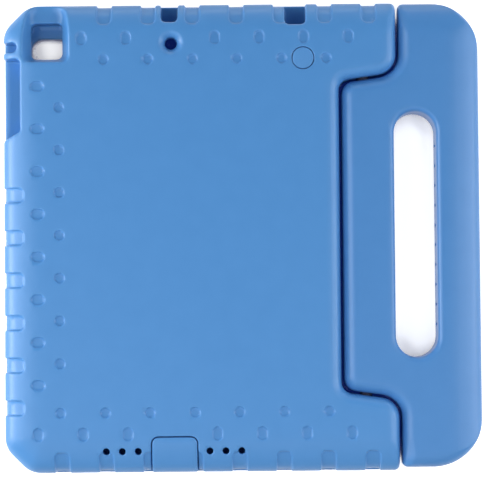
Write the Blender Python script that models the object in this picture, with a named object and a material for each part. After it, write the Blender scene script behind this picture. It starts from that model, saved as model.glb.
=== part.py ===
"""Kids tablet case: a moulded foam shell for a 9.7 inch class tablet, with a carrying handle
that turns on two pins between the shell's ears and folds out behind the case as a stand.

The case lies on its front rim, back upwards. X runs across the tablet towards the handle, Y runs
up along the tablet, Z points out of the back. The origin is at the middle of the whole case, on
the plane of the front rim.
"""
import math

import bmesh
import bpy
from mathutils import Matrix, Vector

MM = 0.001

# Tablet that the case holds
TABLET_WIDTH = 169.5 * MM
TABLET_HEIGHT = 240.0 * MM
TABLET_DEPTH = 7.5 * MM
TABLET_CORNER = 8.0 * MM
TABLET_PLAY = 0.25 * MM

# Shell
SIDE_WALL = 11.0 * MM
END_WALL = 13.5 * MM
LIP_THICKNESS = 6.0 * MM
LIP_OVERLAP = 4.5 * MM
LIP_CORNER = 6.0 * MM
LIP_BEVEL = 2.0 * MM
BACK_THICKNESS = 11.5 * MM
CORNER_CUT_X = 14.5 * MM
CORNER_CUT_Y = 14.5 * MM
CORNER_ROUND = 14.0 * MM
FRONT_ROUND = 4.0 * MM
BACK_ROUND_WIDTH = 20.0 * MM
BACK_ROUND_HEIGHT = 12.0 * MM

# Ears that carry the handle
EAR_REACH = 32.7 * MM
EAR_LENGTH_OUTER = 40.2 * MM
EAR_LENGTH_INNER = 44.8 * MM
EAR_CORNER = 11.5 * MM
EAR_ROOT_ROUND = 6.5 * MM
SEAM_ROUND = 7.0 * MM

# Handle
SEAM_GAP = 1.5 * MM
HANDLE_REACH = 80.2 * MM
HANDLE_LENGTH = 265.0 * MM
HANDLE_SHIFT = 0.7 * MM
HANDLE_SET_BACK = 1.0 * MM
HANDLE_CORNER = 28.5 * MM
HANDLE_ROUND_WIDTH = 20.0 * MM
HANDLE_ROUND_HEIGHT = 11.0 * MM
TAB_ROUND = 8.0 * MM
TAB_CORNER = 8.0 * MM
SLOT_WIDTH = 24.7 * MM
SLOT_LENGTH = 139.9 * MM
SLOT_CORNER = 12.15 * MM
SLOT_EDGE = 25.1 * MM
SLOT_FLARE = 3.5 * MM
GRIP_COUNT = 10
GRIP_PITCH = 11.4 * MM
GRIP_WIDTH = 1.3 * MM
GRIP_DEPTH = 1.2 * MM
GRIP_HEIGHT = 7.0 * MM

# Hinge of the handle
AXIS_INSET = 12.6 * MM
PIN_DIAMETER = 7.0 * MM
PIN_LENGTH = 28.0 * MM
PIN_BEVEL = 0.8 * MM
PIN_PLAY = 0.3 * MM

# Camera window, with a scoop above it that leads a finger to the power button
CAMERA_LEFT = 16.0 * MM
CAMERA_BOTTOM = 30.9 * MM
CAMERA_WIDTH = 17.8 * MM
CAMERA_CORNER = 3.2 * MM
CAMERA_SLOPE_LEFT = 5.3 * MM
CAMERA_SLOPE_RIGHT = 4.2 * MM
CAMERA_SLOPE_BELOW = 2.5 * MM
CAMERA_SLOPE_DEPTH = 10.0 * MM
CAMERA_SLOPE_CORNER = 6.0 * MM
CAMERA_TOP = 10.2 * MM
SCOOP_PAST_EDGE = 1.0 * MM
SCOOP_SLOPE_ABOVE = 4.0 * MM
SCOOP_CORNER = 8.0 * MM
SCOOP_TUCK = 0.1 * MM

# Cutouts in the edges: place along the edge, width, and depth from the edge
CUTOUT_CORNER = 2.8 * MM
MUTE_TOP = 21.6 * MM
MUTE_WIDTH = 5.7 * MM
MUTE_DEPTH = 8.3 * MM
VOLUME_TOP = 30.9 * MM
VOLUME_LENGTH = 42.0 * MM
VOLUME_SLANT = 5.0 * MM
VOLUME_DEPTH = 10.2 * MM
VOLUME_WINDOW_LENGTH = 26.0 * MM
UPPER_MIC_LEFT = 90.6 * MM
UPPER_MIC_WIDTH = 9.6 * MM
UPPER_MIC_DEPTH = 10.9 * MM
HEADPHONE_LEFT = 161.3 * MM
HEADPHONE_WIDTH = 12.0 * MM
HEADPHONE_DEPTH = 12.8 * MM
PORT_HOLE_HEIGHT = 5.0 * MM
CUTOUT_FLARE = 1.2 * MM

# Microphone hole and foam plug in the back
MIC_LEFT = 96.2 * MM
MIC_TOP = 23.0 * MM
MIC_DIAMETER = 7.0 * MM
MIC_SINK_DIAMETER = 13.4 * MM
MIC_SINK_DEPTH = 3.0 * MM
PLUG_LEFT = 171.6 * MM
PLUG_TOP = 32.2 * MM
PLUG_DIAMETER = 12.2 * MM
PLUG_DEPTH = 4.0 * MM
PLUG_GAP = 0.35 * MM

# Flap over the charging port
FLAP_LEFT = 84.0 * MM
FLAP_WIDTH = 25.7 * MM
FLAP_REACH = 20.3 * MM
FLAP_CORNER = 3.7 * MM
FLAP_GAP = 0.45 * MM
FLAP_SEAT_GAP = 0.3 * MM

# Speaker holes, in two rows of three
SPEAKER_DIAMETER = 3.9 * MM
SPEAKER_EDGE = 12.4 * MM
SPEAKER_PITCH = 9.05 * MM
SPEAKER_ROW_STARTS = (58.1 * MM, 116.8 * MM)
SPEAKER_ROW_COUNT = 3
SPEAKER_TUNNEL_WIDTH = 2.6 * MM

# Grip notches along the edges
NOTCH_WIDTH = 8.3 * MM
NOTCH_REACH = 12.0 * MM
NOTCH_DEPTH = 1.0 * MM
NOTCH_CORNER = 3.0 * MM
NOTCH_PITCH_SIDE = 24.2 * MM
NOTCH_PITCH_END = 25.2 * MM
NOTCH_FIRST_SIDE = 109.3 * MM
NOTCH_COUNT_SIDE = 6
NOTCH_FIRST_TOP = 58.1 * MM
NOTCH_COUNT_TOP = 7
NOTCH_FIRST_BOTTOM = 33.0 * MM
NOTCH_COUNT_BOTTOM = 8

# Dimples in the back
DIMPLE_DEPTH = 0.9 * MM
DIMPLE_LONG = 7.4 * MM
DIMPLE_SHORT = 5.2 * MM
DIMPLE_ROUND = 5.2 * MM
DIMPLE_PITCH_SIDE = 24.3 * MM
DIMPLE_PITCH_END = 25.4 * MM
OUTER_ROW_EDGE = 20.0 * MM
INNER_ROW_EDGE = 32.2 * MM
BOTTOM_OUTER_ROW_EDGE = 22.2 * MM
BOTTOM_INNER_ROW_EDGE = 34.4 * MM
OUTER_ROW_FIRST = 45.1 * MM
OUTER_ROW_COUNT = 7
INNER_ROW_FIRST = 57.8 * MM
INNER_ROW_COUNT = 6
MIC_PLACE_IN_ROW = 2
OUTER_COLUMN_FIRST = 47.2 * MM
OUTER_COLUMN_COUNT = 8
INNER_COLUMN_FIRST = 59.3 * MM
INNER_COLUMN_COUNT = 7

# Fineness of the round stretches
CORNER_STEPS = 6
PROFILE_STEPS = 5
ROUND_SIDES = 24
DIMPLE_SIDES = 10
MARGIN = 20.0 * MM
SMOOTH_ANGLE = math.radians(35.0)

# Values worked out from the sizes above
TOTAL_THICKNESS = LIP_THICKNESS + TABLET_DEPTH + 2 * TABLET_PLAY + BACK_THICKNESS
POCKET_FLOOR = LIP_THICKNESS
POCKET_CEILING = TOTAL_THICKNESS - BACK_THICKNESS
POCKET_WIDTH = TABLET_WIDTH + 2 * TABLET_PLAY
POCKET_HEIGHT = TABLET_HEIGHT + 2 * TABLET_PLAY
BODY_WIDTH = POCKET_WIDTH + 2 * SIDE_WALL
BODY_HEIGHT = POCKET_HEIGHT + 2 * END_WALL
TOTAL_WIDTH = BODY_WIDTH + HANDLE_REACH
LEFT = -TOTAL_WIDTH / 2
RIGHT = TOTAL_WIDTH / 2
TOP = BODY_HEIGHT / 2
BOTTOM = -BODY_HEIGHT / 2
BODY_RIGHT = LEFT + BODY_WIDTH
POCKET_LEFT = LEFT + SIDE_WALL
EAR_END = BODY_RIGHT + EAR_REACH
TAB_LEFT = BODY_RIGHT + SEAM_GAP
SHOULDER = EAR_END + SEAM_GAP
HANDLE_TOP = HANDLE_SHIFT + HANDLE_LENGTH / 2
HANDLE_BOTTOM = HANDLE_SHIFT - HANDLE_LENGTH / 2
HANDLE_LOW = HANDLE_SET_BACK
HANDLE_HIGH = TOTAL_THICKNESS - HANDLE_SET_BACK
AXIS_X = TAB_LEFT + AXIS_INSET
AXIS_Z = TOTAL_THICKNESS / 2
EAR_SLANT = (EAR_LENGTH_INNER - EAR_LENGTH_OUTER) / EAR_REACH
EAR_FACE_AT_AXIS = TOP - EAR_LENGTH_OUTER - EAR_SLANT * (EAR_END - AXIS_X)

FOAM_BLUE = (0.085, 0.25, 0.66, 1.0)
PIN_GREY = (0.10, 0.11, 0.12, 1.0)
FOAM_ROUGHNESS = 0.6
PLUG_ROUGHNESS = 0.65
PIN_ROUGHNESS = 0.4


def make_material(name, colour, roughness):
    """Return a plain Principled material."""
    material = bpy.data.materials.new(name)
    material.use_nodes = True
    shader = material.node_tree.nodes["Principled BSDF"]
    shader.inputs["Base Color"].default_value = colour
    shader.inputs["Roughness"].default_value = roughness
    shader.inputs["Metallic"].default_value = 0.0
    material.diffuse_color = colour
    return material


def add_object(name, mesh, material=None):
    """Link a mesh as a named object, shaded smooth apart from its sharp edges."""
    piece = bpy.data.objects.new(name, mesh)
    bpy.context.collection.objects.link(piece)
    mesh.shade_smooth()
    mesh.set_sharp_from_angle(angle=SMOOTH_ANGLE)
    if material:
        mesh.materials.append(material)
    return piece


def add_cutter(name, mesh):
    """Link a mesh that only shapes other objects."""
    cutter = add_object(name, mesh)
    cutter.hide_render = True
    cutter.display_type = "WIRE"
    return cutter


def combine(piece, tool, operation):
    """Add an exact Boolean of another object to a piece."""
    modifier = piece.modifiers.new(tool.name, "BOOLEAN")
    modifier.operation = operation
    modifier.solver = "EXACT"
    modifier.object = tool


def bridge_rings(mesh_builder, rings):
    """Join closed rings of equal length by quads and cap both ends."""
    loops = []
    for ring in rings:
        loops.append([mesh_builder.verts.new(point) for point in ring])
    count = len(loops[0])
    for lower, upper in zip(loops, loops[1:]):
        for index in range(count):
            following = (index + 1) % count
            mesh_builder.faces.new((lower[index], lower[following], upper[following], upper[index]))
    mesh_builder.faces.new(list(reversed(loops[0])))
    mesh_builder.faces.new(loops[-1])


def mesh_from_lofts(name, lofts):
    """Return one mesh made of separate closed lofts, each a list of rings."""
    mesh_builder = bmesh.new()
    for rings in lofts:
        bridge_rings(mesh_builder, rings)
    bmesh.ops.recalc_face_normals(mesh_builder, faces=mesh_builder.faces)
    mesh = bpy.data.meshes.new(name)
    mesh_builder.to_mesh(mesh)
    mesh_builder.free()
    return mesh


def rounded_outline(corners, inset=0.0, smallest=0.3 * MM):
    """Return the points of an anticlockwise polygon with round corners, moved inwards by inset.

    Each corner is (x, y, radius). A corner that turns inwards gets a larger radius as the outline
    shrinks, and an outward one a smaller radius.
    """
    count = len(corners)
    points = []
    for index in range(count):
        before = Vector(corners[index - 1][:2])
        here = Vector(corners[index][:2])
        after = Vector(corners[(index + 1) % count][:2])
        along_in = (here - before).normalized()
        along_out = (after - here).normalized()
        turn = math.atan2(along_in.cross(along_out), along_in.dot(along_out))
        normal_in = Vector((-along_in.y, along_in.x))
        normal_out = Vector((-along_out.y, along_out.x))
        inward = (normal_in + normal_out) / (1 + normal_in.dot(normal_out))
        corner = here + inward * inset
        change = -inset if turn > 0 else inset
        radius = max(corners[index][2] + change, smallest)
        side = 1 if turn > 0 else -1
        centre = corner + inward * radius * side
        start = -normal_in * radius * side
        for step in range(CORNER_STEPS + 1):
            swing = Matrix.Rotation(turn * step / CORNER_STEPS, 2)
            points.append(centre + swing @ start)
    return points


def flat_ring(points, height):
    """Lift flat points to a height."""
    return [(point.x, point.y, height) for point in points]


def quarter_profile(width, height):
    """Return (inset, rise) pairs of a quarter ellipse, from the side up to the flat."""
    pairs = []
    for step in range(PROFILE_STEPS + 1):
        angle = math.pi / 2 * step / PROFILE_STEPS
        pairs.append((width * (1 - math.cos(angle)), height * math.sin(angle)))
    return pairs


def rounded_slab(corners, low, high, front, back):
    """Return the rings of a slab whose front and back edges are rounded.

    front and back are (width, height) of the elliptical rounding.
    """
    rings = []
    for inset, rise in reversed(quarter_profile(*front)):
        rings.append(flat_ring(rounded_outline(corners, inset), low + front[1] - rise))
    for inset, rise in quarter_profile(*back):
        rings.append(flat_ring(rounded_outline(corners, inset), high - back[1] + rise))
    return rings


def straight_slab(corners, low, high):
    """Return the two rings of a slab with straight sides."""
    outline = rounded_outline(corners)
    return [flat_ring(outline, low), flat_ring(outline, high)]


def box_corners(x_low, x_high, y_low, y_high, radius):
    """Return the corners of an upright rectangle, anticlockwise."""
    return [
        (x_low, y_low, radius),
        (x_high, y_low, radius),
        (x_high, y_high, radius),
        (x_low, y_high, radius),
    ]


def shell_form_corners():
    """Outline of the shell with its two cut corners, running past the ears on the right."""
    far = EAR_END + MARGIN
    return [
        (LEFT, BOTTOM + CORNER_CUT_Y, CORNER_ROUND),
        (LEFT + CORNER_CUT_X, BOTTOM, CORNER_ROUND),
        (far, BOTTOM, CORNER_ROUND),
        (far, TOP, CORNER_ROUND),
        (LEFT + CORNER_CUT_X, TOP, CORNER_ROUND),
        (LEFT, TOP - CORNER_CUT_Y, CORNER_ROUND),
    ]


def ear_outline_corners():
    """Outline of the shell's seam side, with both ears, running past the other three sides."""
    return [
        (LEFT - MARGIN, BOTTOM - MARGIN, MARGIN / 2),
        (EAR_END, BOTTOM - MARGIN, MARGIN / 2),
        (EAR_END, BOTTOM + EAR_LENGTH_OUTER, EAR_CORNER),
        (BODY_RIGHT, BOTTOM + EAR_LENGTH_INNER, EAR_ROOT_ROUND),
        (BODY_RIGHT, TOP - EAR_LENGTH_INNER, EAR_ROOT_ROUND),
        (EAR_END, TOP - EAR_LENGTH_OUTER, EAR_CORNER),
        (EAR_END, TOP + MARGIN, MARGIN / 2),
        (LEFT - MARGIN, TOP + MARGIN, MARGIN / 2),
    ]


def tab_outline_corners():
    """Outline of the handle's tab and shoulders, a seam gap away from the ears."""
    drop = SEAM_GAP * math.hypot(1.0, EAR_SLANT) - SEAM_GAP * EAR_SLANT
    tab_top_outer = TOP - EAR_LENGTH_OUTER - drop
    tab_top_inner = TOP - EAR_LENGTH_INNER - drop
    far = RIGHT + MARGIN
    shoulder_round = EAR_CORNER + SEAM_GAP
    return [
        (TAB_LEFT, -tab_top_inner, TAB_CORNER),
        (SHOULDER, -tab_top_outer, shoulder_round),
        (SHOULDER, HANDLE_BOTTOM - MARGIN, MARGIN / 2),
        (far, HANDLE_BOTTOM - MARGIN, MARGIN / 2),
        (far, HANDLE_TOP + MARGIN, MARGIN / 2),
        (SHOULDER, HANDLE_TOP + MARGIN, MARGIN / 2),
        (SHOULDER, tab_top_outer, shoulder_round),
        (TAB_LEFT, tab_top_inner, TAB_CORNER),
    ]


def handle_form_corners():
    """Outline of the handle's outer side, running past the tab on the left."""
    near = TAB_LEFT - MARGIN
    return [
        (near, HANDLE_BOTTOM, 0.0),
        (RIGHT, HANDLE_BOTTOM, HANDLE_CORNER),
        (RIGHT, HANDLE_TOP, HANDLE_CORNER),
        (near, HANDLE_TOP, 0.0),
    ]


def shell_form_rings():
    """Outer form of the shell, with its soft back edge."""
    return rounded_slab(
        shell_form_corners(),
        0.0,
        TOTAL_THICKNESS,
        (FRONT_ROUND, FRONT_ROUND),
        (BACK_ROUND_WIDTH, BACK_ROUND_HEIGHT),
    )


def add_turned(name, stations, x, y):
    """Return a cutter turned about a vertical line; stations are (radius, height)."""
    rings = []
    for radius, height in stations:
        ring = []
        for side in range(ROUND_SIDES):
            angle = 2 * math.pi * side / ROUND_SIDES
            ring.append((x + radius * math.cos(angle), y + radius * math.sin(angle), height))
        rings.append(ring)
    return add_cutter(name, mesh_from_lofts(name, [rings]))


def disc_rings(x, y, radius, low, high, sides=ROUND_SIDES):
    """Return the two rings of an upright cylinder."""
    rings = []
    for height in (low, high):
        ring = []
        for side in range(sides):
            angle = 2 * math.pi * side / sides
            ring.append((x + radius * math.cos(angle), y + radius * math.sin(angle), height))
        rings.append(ring)
    return rings


def cut_pocket(shell):
    """Cut the tablet's pocket and the screen opening with its bevelled lip."""
    pocket = straight_slab(
        box_corners(
            POCKET_LEFT,
            POCKET_LEFT + POCKET_WIDTH,
            -POCKET_HEIGHT / 2,
            POCKET_HEIGHT / 2,
            TABLET_CORNER,
        ),
        POCKET_FLOOR,
        POCKET_CEILING,
    )
    combine(shell, add_cutter("tablet_pocket_cutter", mesh_from_lofts("pocket", [pocket])), "DIFFERENCE")
    screen_corners = box_corners(
        POCKET_LEFT + LIP_OVERLAP,
        POCKET_LEFT + POCKET_WIDTH - LIP_OVERLAP,
        -POCKET_HEIGHT / 2 + LIP_OVERLAP,
        POCKET_HEIGHT / 2 - LIP_OVERLAP,
        LIP_CORNER,
    )
    screen = [
        flat_ring(rounded_outline(screen_corners, -LIP_BEVEL), -LIP_BEVEL),
        flat_ring(rounded_outline(screen_corners, -LIP_BEVEL), 0.0),
        flat_ring(rounded_outline(screen_corners), LIP_BEVEL),
        flat_ring(rounded_outline(screen_corners), (POCKET_FLOOR + POCKET_CEILING) / 2),
    ]
    combine(shell, add_cutter("screen_cutter", mesh_from_lofts("screen", [screen])), "DIFFERENCE")


def window_corners(left, right, low, high, lower_round, upper_round):
    """Return the corners of the camera window or its surround, whose upper end is rounder."""
    return [
        (left, low, lower_round),
        (right, low, lower_round),
        (right, high, upper_round),
        (left, high, upper_round),
    ]


def cut_camera_window(shell):
    """Cut the camera window, and the sloped scoop round and above it that runs out at the top."""
    left = LEFT + CAMERA_LEFT
    right = left + CAMERA_WIDTH
    low = TOP - CAMERA_BOTTOM
    window = straight_slab(
        window_corners(left, right, low, TOP - CAMERA_TOP, CAMERA_CORNER, CAMERA_CORNER),
        POCKET_FLOOR,
        TOTAL_THICKNESS,
    )
    combine(shell, add_cutter("camera_cutter", mesh_from_lofts("camera", [window])), "DIFFERENCE")
    high = TOP + SCOOP_PAST_EDGE
    inner = rounded_outline(
        window_corners(left, right, low, high, CAMERA_CORNER, SCOOP_CORNER), SCOOP_TUCK
    )
    outer = rounded_outline(
        window_corners(
            left - CAMERA_SLOPE_LEFT,
            right + CAMERA_SLOPE_RIGHT,
            low - CAMERA_SLOPE_BELOW,
            high + SCOOP_SLOPE_ABOVE,
            CAMERA_SLOPE_CORNER,
            SCOOP_CORNER,
        )
    )
    rings = [
        flat_ring(inner, TOTAL_THICKNESS - CAMERA_SLOPE_DEPTH),
        flat_ring(outer, TOTAL_THICKNESS),
        flat_ring(outer, TOTAL_THICKNESS + MARGIN),
    ]
    combine(shell, add_cutter("scoop_cutter", mesh_from_lofts("scoop", [rings])), "DIFFERENCE")


def flared_cutout(corners):
    """Return the rings of a cutout from the back that widens at the surface."""
    outline = rounded_outline(corners)
    wide = rounded_outline(corners, -CUTOUT_FLARE)
    return [
        flat_ring(outline, POCKET_FLOOR),
        flat_ring(outline, TOTAL_THICKNESS - 3 * CUTOUT_FLARE),
        flat_ring(wide, TOTAL_THICKNESS),
        flat_ring(wide, TOTAL_THICKNESS + MARGIN),
    ]


def cut_edge_cutouts(shell):
    """Cut the places where buttons and sockets are reached through the edges."""
    mute_low = TOP - MUTE_TOP - MUTE_WIDTH
    mute = box_corners(LEFT - MARGIN, LEFT + MUTE_DEPTH, mute_low, mute_low + MUTE_WIDTH, CUTOUT_CORNER)
    volume_high = TOP - VOLUME_TOP
    volume_low = volume_high - VOLUME_LENGTH
    volume_outer_low = volume_low - VOLUME_SLANT * (1 + MARGIN / VOLUME_DEPTH)
    volume = [
        (LEFT - MARGIN, volume_outer_low, CUTOUT_CORNER),
        (LEFT + VOLUME_DEPTH, volume_low, CUTOUT_CORNER),
        (LEFT + VOLUME_DEPTH, volume_high, CUTOUT_CORNER),
        (LEFT - MARGIN, volume_high, CUTOUT_CORNER),
    ]
    upper_mic = box_corners(
        LEFT + UPPER_MIC_LEFT,
        LEFT + UPPER_MIC_LEFT + UPPER_MIC_WIDTH,
        TOP - UPPER_MIC_DEPTH,
        TOP + MARGIN,
        CUTOUT_CORNER,
    )
    headphone = box_corners(
        LEFT + HEADPHONE_LEFT,
        LEFT + HEADPHONE_LEFT + HEADPHONE_WIDTH,
        TOP - HEADPHONE_DEPTH,
        TOP + MARGIN,
        CUTOUT_CORNER,
    )
    lofts = [flared_cutout(corners) for corners in (mute, volume, upper_mic, headphone)]
    combine(shell, add_cutter("cutout_cutter", mesh_from_lofts("cutouts", lofts)), "DIFFERENCE")


def side_hole_rings(x_low, x_high, y_low, y_high):
    """Return the rings of a low window from an edge cutout into the pocket."""
    middle = (POCKET_FLOOR + POCKET_CEILING) / 2
    low = middle - PORT_HOLE_HEIGHT / 2
    return straight_slab(box_corners(x_low, x_high, y_low, y_high, 0.0), low, low + PORT_HOLE_HEIGHT)


def cut_side_holes(shell):
    """Open each edge cutout to the tablet's edge behind it."""
    inside = 2 * TABLET_PLAY
    mute_middle = TOP - MUTE_TOP - MUTE_WIDTH / 2
    volume_middle = TOP - VOLUME_TOP - VOLUME_LENGTH / 2
    mic_middle = LEFT + UPPER_MIC_LEFT + UPPER_MIC_WIDTH / 2
    jack_middle = LEFT + HEADPHONE_LEFT + HEADPHONE_WIDTH / 2
    half_hole = PORT_HOLE_HEIGHT / 2
    lofts = [
        side_hole_rings(
            LEFT + MUTE_DEPTH - inside,
            POCKET_LEFT + inside,
            mute_middle - half_hole / 2,
            mute_middle + half_hole / 2,
        ),
        side_hole_rings(
            LEFT + VOLUME_DEPTH - inside,
            POCKET_LEFT + inside,
            volume_middle - VOLUME_WINDOW_LENGTH / 2,
            volume_middle + VOLUME_WINDOW_LENGTH / 2,
        ),
        side_hole_rings(
            mic_middle - half_hole,
            mic_middle + half_hole,
            POCKET_HEIGHT / 2 - inside,
            TOP - UPPER_MIC_DEPTH + inside,
        ),
        side_hole_rings(
            jack_middle - half_hole,
            jack_middle + half_hole,
            POCKET_HEIGHT / 2 - inside,
            TOP - HEADPHONE_DEPTH + inside,
        ),
    ]
    combine(shell, add_cutter("side_hole_cutter", mesh_from_lofts("side_holes", lofts)), "DIFFERENCE")


def speaker_places():
    """Return the x of each speaker hole."""
    return [
        LEFT + start + SPEAKER_PITCH * index
        for start in SPEAKER_ROW_STARTS
        for index in range(SPEAKER_ROW_COUNT)
    ]


def cut_round_holes(shell):
    """Cut the microphone hole, the plug's seat, and the speaker holes with their tunnels."""
    radius = MIC_DIAMETER / 2
    sink = MIC_SINK_DIAMETER / 2
    stations = [
        (radius, (POCKET_FLOOR + POCKET_CEILING) / 2),
        (radius, TOTAL_THICKNESS - MIC_SINK_DEPTH),
        (sink, TOTAL_THICKNESS),
        (sink, TOTAL_THICKNESS + MARGIN),
    ]
    mic = add_turned("mic_cutter", stations, LEFT + MIC_LEFT, TOP - MIC_TOP)
    combine(shell, mic, "DIFFERENCE")

    middle = (POCKET_FLOOR + POCKET_CEILING) / 2
    speaker_y = BOTTOM + SPEAKER_EDGE
    seat_radius = PLUG_DIAMETER / 2 + PLUG_GAP
    seat_low = TOTAL_THICKNESS - PLUG_DEPTH - PLUG_GAP
    lofts = [
        disc_rings(LEFT + PLUG_LEFT, TOP - PLUG_TOP, seat_radius, seat_low, TOTAL_THICKNESS + MARGIN)
    ]
    for x in speaker_places():
        lofts.append(
            disc_rings(
                x, speaker_y, SPEAKER_DIAMETER / 2, middle, TOTAL_THICKNESS + MARGIN, ROUND_SIDES // 2
            )
        )
    combine(shell, add_cutter("round_hole_cutter", mesh_from_lofts("round_holes", lofts)), "DIFFERENCE")

    half = SPEAKER_TUNNEL_WIDTH / 2
    tunnels = []
    for x in speaker_places():
        corners = box_corners(x - half, x + half, speaker_y, -POCKET_HEIGHT / 2 + 2 * TABLET_PLAY, 0.0)
        tunnels.append(straight_slab(corners, middle - half, middle + half))
    combine(shell, add_cutter("tunnel_cutter", mesh_from_lofts("tunnels", tunnels)), "DIFFERENCE")


def notch_section(reach):
    """Return (inset, height) points of a notch's section, out to the given reach."""
    floor_points = []
    reach_angle = math.acos(1 - reach / BACK_ROUND_WIDTH)
    for step in range(PROFILE_STEPS + 1):
        angle = reach_angle * step / PROFILE_STEPS
        across = math.cos(angle) / BACK_ROUND_WIDTH
        upward = math.sin(angle) / BACK_ROUND_HEIGHT
        length = math.hypot(across, upward)
        inset = BACK_ROUND_WIDTH * (1 - math.cos(angle)) + NOTCH_DEPTH * across / length
        height = TOTAL_THICKNESS - BACK_ROUND_HEIGHT * (1 - math.sin(angle))
        floor_points.append((inset, height - NOTCH_DEPTH * upward / length))
    last_inset = floor_points[-1][0]
    return (
        [(-MARGIN, POCKET_FLOOR), (NOTCH_DEPTH, POCKET_FLOOR)]
        + floor_points
        + [(last_inset, TOTAL_THICKNESS + MARGIN), (-MARGIN, TOTAL_THICKNESS + MARGIN)]
    )


def notch_rings(place):
    """Return a notch's rings; place turns (along, inset, height) into a point."""
    half = NOTCH_WIDTH / 2
    rings = []
    for side in (-1, 1):
        slices = []
        for angle in (0.0, math.pi / 4, math.pi / 2):
            along = half - NOTCH_CORNER * (1 - math.sin(angle))
            reach = NOTCH_REACH - NOTCH_CORNER * (1 - math.cos(angle))
            slices.append((along, reach))
        if side < 0:
            slices.reverse()
        for along, reach in slices:
            rings.append([place(side * along, inset, height) for inset, height in notch_section(reach)])
    return rings


def cut_notches(shell):
    """Cut the shallow finger notches along the left, top and bottom edges."""
    lofts = []
    for index in range(NOTCH_COUNT_SIDE):
        y = TOP - NOTCH_FIRST_SIDE - NOTCH_PITCH_SIDE * index
        lofts.append(notch_rings(lambda along, inset, height: (LEFT + inset, y + along, height)))
    for index in range(NOTCH_COUNT_TOP):
        x = LEFT + NOTCH_FIRST_TOP + NOTCH_PITCH_END * index
        lofts.append(notch_rings(lambda along, inset, height: (x + along, TOP - inset, height)))
    for index in range(NOTCH_COUNT_BOTTOM):
        x = LEFT + NOTCH_FIRST_BOTTOM + NOTCH_PITCH_END * index
        lofts.append(notch_rings(lambda along, inset, height: (x + along, BOTTOM + inset, height)))
    combine(shell, add_cutter("notch_cutter", mesh_from_lofts("notches", lofts)), "DIFFERENCE")


def dimple_places():
    """Return (x, y, width, height) of each dimple; the bottom rows start one place further left."""
    places = []
    for index in range(-1, OUTER_ROW_COUNT):
        if index == MIC_PLACE_IN_ROW:
            continue
        x = LEFT + OUTER_ROW_FIRST + DIMPLE_PITCH_END * index
        places.append((x, BOTTOM + BOTTOM_OUTER_ROW_EDGE, DIMPLE_SHORT, DIMPLE_LONG))
        if index >= 0:
            places.append((x, TOP - OUTER_ROW_EDGE, DIMPLE_SHORT, DIMPLE_LONG))
    for index in range(-1, INNER_ROW_COUNT):
        x = LEFT + INNER_ROW_FIRST + DIMPLE_PITCH_END * index
        places.append((x, BOTTOM + BOTTOM_INNER_ROW_EDGE, DIMPLE_ROUND, DIMPLE_ROUND))
        if index >= 0:
            places.append((x, TOP - INNER_ROW_EDGE, DIMPLE_ROUND, DIMPLE_ROUND))
    for index in range(OUTER_COLUMN_COUNT):
        y = TOP - OUTER_COLUMN_FIRST - DIMPLE_PITCH_SIDE * index
        places.append((LEFT + OUTER_ROW_EDGE, y, DIMPLE_LONG, DIMPLE_SHORT))
    for index in range(INNER_COLUMN_COUNT):
        y = TOP - INNER_COLUMN_FIRST - DIMPLE_PITCH_SIDE * index
        places.append((LEFT + INNER_ROW_EDGE, y, DIMPLE_ROUND, DIMPLE_ROUND))
    return places


def dimple_rings(x, y, width, height):
    """Return the rings of a shallow oval bowl that opens at the back face."""
    rings = []
    for angle in (math.pi / 7, math.pi / 3, math.pi / 2):
        share = math.sin(angle)
        drop = DIMPLE_DEPTH * math.cos(angle)
        ring = []
        for side in range(DIMPLE_SIDES):
            turn = 2 * math.pi * side / DIMPLE_SIDES
            across = x + width / 2 * share * math.cos(turn)
            along = y + height / 2 * share * math.sin(turn)
            ring.append((across, along, TOTAL_THICKNESS - drop))
        rings.append(ring)
    rings.append([(across, along, TOTAL_THICKNESS + MARGIN) for across, along, _ in rings[-1]])
    return rings


def cut_dimples(shell):
    """Press the rows of dimples into the back."""
    lofts = [dimple_rings(*place) for place in dimple_places()]
    combine(shell, add_cutter("dimple_cutter", mesh_from_lofts("dimples", lofts)), "DIFFERENCE")


def flap_corners(gap):
    """Outline of the port flap grown by a gap, running out past the bottom edge."""
    return [
        (LEFT + FLAP_LEFT - gap, BOTTOM - MARGIN, 0.0),
        (LEFT + FLAP_LEFT + FLAP_WIDTH + gap, BOTTOM - MARGIN, 0.0),
        (LEFT + FLAP_LEFT + FLAP_WIDTH + gap, BOTTOM + FLAP_REACH + gap, FLAP_CORNER + gap),
        (LEFT + FLAP_LEFT - gap, BOTTOM + FLAP_REACH + gap, FLAP_CORNER + gap),
    ]


def cut_flap_seat(shell):
    """Cut the way to the charging port that the flap closes."""
    seat = straight_slab(flap_corners(FLAP_GAP), POCKET_FLOOR, TOTAL_THICKNESS + MARGIN)
    combine(shell, add_cutter("flap_seat_cutter", mesh_from_lofts("flap_seat", [seat])), "DIFFERENCE")


def pin_rings(y_low, y_high, radius, bevel=0.0):
    """Return the rings of a rod on the hinge axis."""
    stations = [(radius - bevel, y_low), (radius - bevel, y_high)]
    if bevel:
        stations[1:1] = [(radius, y_low + bevel), (radius, y_high - bevel)]
    rings = []
    for size, y in stations:
        ring = []
        for side in range(ROUND_SIDES):
            angle = 2 * math.pi * side / ROUND_SIDES
            ring.append((AXIS_X + size * math.cos(angle), y, AXIS_Z + size * math.sin(angle)))
        rings.append(ring)
    return rings


def pin_ends():
    """Return (low, high) of each hinge pin along Y, upper pin first."""
    middle = EAR_FACE_AT_AXIS - SEAM_GAP / 2
    return [
        (middle - PIN_LENGTH / 2, middle + PIN_LENGTH / 2),
        (-middle - PIN_LENGTH / 2, -middle + PIN_LENGTH / 2),
    ]


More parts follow.
